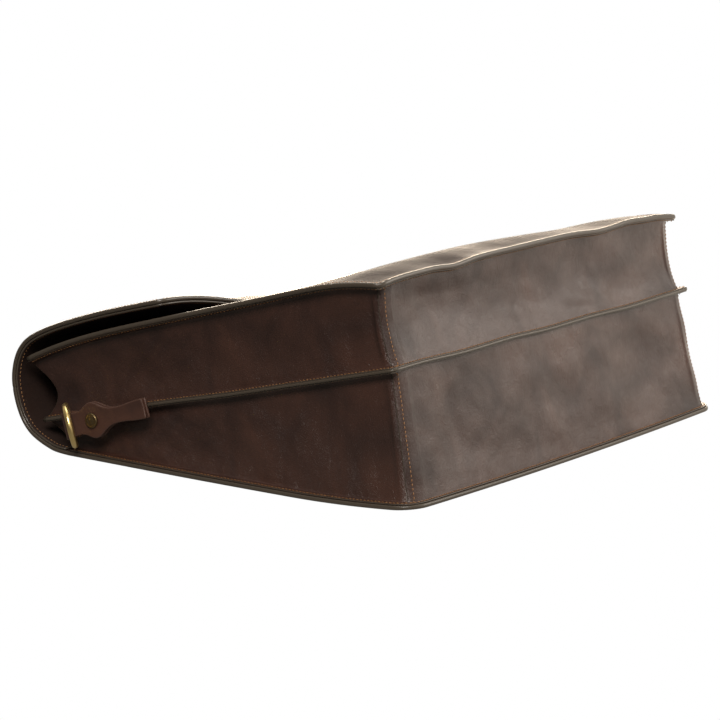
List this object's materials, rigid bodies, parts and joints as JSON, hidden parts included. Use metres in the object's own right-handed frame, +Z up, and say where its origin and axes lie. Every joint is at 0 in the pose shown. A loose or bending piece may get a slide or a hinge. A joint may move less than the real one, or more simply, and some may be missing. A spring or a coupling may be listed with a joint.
{
  "type": "leather briefcase",
  "caption": "Soft two-compartment leather briefcase with a fold-over flap, turn lock, grip and D-ring tabs, lying on its back panel.",
  "frame": {"origin": "middle of the back panel's flat outer face, which rests on the ground", "axes": "+X along the width, +Y from the base to the mouth and grip, +Z up out of the front panel"},
  "size_m": [0.4464, 0.3925, 0.1638],
  "materials": {
    "hide": "glazed dark brown, painted edges",
    "gusset_hide": "softer glazed brown, creased",
    "lining_hide": "matt dark brown",
    "strap_hide": "glazed brown",
    "brass": "polished",
    "old_brass": "antiqued",
    "steel": "plain sheet"
  },
  "bodies": {
    "bag": {"back_panel": "hide", "front_panel": "hide", "divider_panel": "gusset_hide", "rear_gusset_left": "gusset_hide", "rear_gusset_right": "gusset_hide", "rear_gusset_bottom": "gusset_hide", "front_gusset_left": "gusset_hide", "front_gusset_right": "gusset_hide", "front_gusset_bottom": "gusset_hide", "lock_base": "brass", "lock_backing_plate": "steel", "ring_tab_left": "strap_hide", "ring_tab_right": "strap_hide", "tab_rivet_left": "old_brass", "tab_rivet_right": "old_brass"},
    "spine": {"flap_spine": "hide", "flap_spine_lining": "lining_hide", "spine_stiffener": "steel", "handle_loop_left": "brass", "handle_loop_right": "brass", "handle_rivet_left_lower": "old_brass", "handle_rivet_left_upper": "old_brass", "handle_rivet_right_lower": "old_brass", "handle_rivet_right_upper": "old_brass"},
    "flap": {"flap_front": "hide", "flap_front_lining": "lining_hide", "window_plate": "brass", "window_rivet_left": "old_brass", "window_rivet_right": "old_brass"},
    "grip": {"handle_grip": "strap_hide"},
    "ring_left": {"d_ring_left": "brass"},
    "ring_right": {"d_ring_right": "brass"},
    "knob": {"lock_knob": "brass"}
  },
  "joints": [
    {"name": "flap_fold", "type": "hinge", "parent": "bag", "child": "spine", "pos_m": [0, 0.152, 0], "axis": [-1, 0, 0], "range_deg": [0, 45]},
    {"name": "flap_crease", "type": "hinge", "parent": "spine", "child": "flap", "pos_m": [0, 0.198, 0.078], "axis": [-1, 0, 0], "range_deg": [0, 108]},
    {"name": "grip_swing", "type": "hinge", "parent": "spine", "child": "grip", "pos_m": [0, 0.218, 0.055], "axis": [1, 0, 0], "range_deg": [0, 170]},
    {"name": "ring_left_swing", "type": "hinge", "parent": "bag", "child": "ring_left", "pos_m": [-0.2056, 0.1448, 0.0245], "axis": [0, -0.2963, -0.9551], "range_deg": [-15, 114]},
    {"name": "ring_right_swing", "type": "hinge", "parent": "bag", "child": "ring_right", "pos_m": [0.2056, 0.1448, 0.0245], "axis": [0, 0.2963, 0.9551], "range_deg": [-15, 114]},
    {"name": "lock_turn", "type": "hinge", "parent": "bag", "child": "knob", "pos_m": [0, 0.08, 0.09292], "axis": [0, 0.3505, 0.9366], "range_deg": [0, 90]}
  ],
  "couplings": [
    {"joint": "flap_crease", "follows": "flap_fold", "ratio": 2.4}
  ]
}
